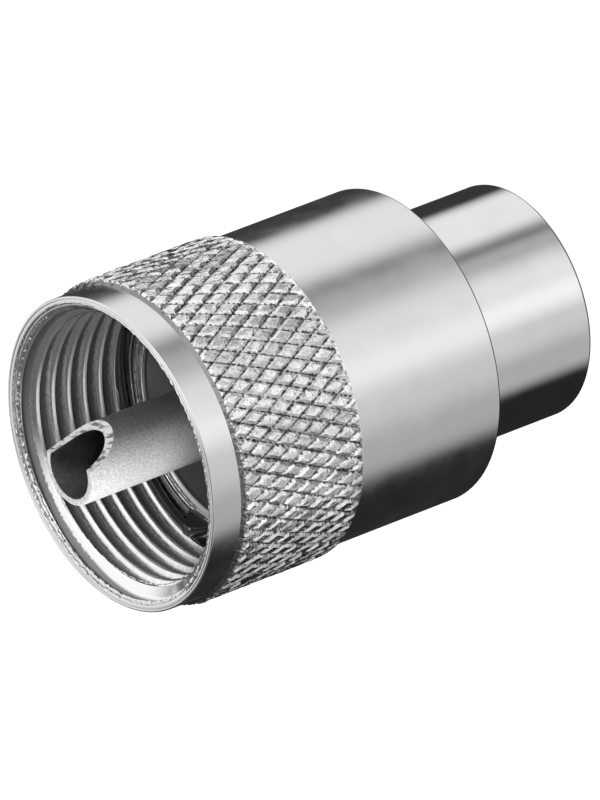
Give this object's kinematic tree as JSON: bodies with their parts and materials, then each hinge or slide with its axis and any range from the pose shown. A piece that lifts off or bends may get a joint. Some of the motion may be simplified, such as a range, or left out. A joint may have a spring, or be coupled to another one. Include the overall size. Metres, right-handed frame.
{
  "type": "uhf connector",
  "caption": "Nickel-plated coaxial cable plug with a knurled coupling nut that turns on its body, an internal thread and a hollow centre pin.",
  "frame": {"origin": "centre of the cable end's face, which is the lowest point of the part as it stands", "axes": "+Z along the common axis, from the cable end to the open end with the pin; the two locating pips stand at 140 and -40 degrees from +X towards +Y, and -Y is the side the picture shows"},
  "size_m": [0.0182, 0.0182, 0.0303],
  "materials": {
    "nickel_nut": "bright nickel plate on turned brass, satin on the barrel",
    "nickel_body": "bright nickel plate on turned brass",
    "insulator_grey": "smooth dark grey moulding",
    "pin_plate": "satin plated brass with a fine grain"
  },
  "bodies": {
    "plug": {"plug_body": "nickel_body", "insulator": "insulator_grey", "centre_pin": "pin_plate"},
    "nut": {"coupling_nut": "nickel_nut"}
  },
  "joints": [
    {"name": "coupling_nut_turn", "type": "hinge", "parent": "plug", "child": "nut", "pos_m": [0, 0, 0.018], "axis": [0, 0, 1], "continuous": true}
  ]
}
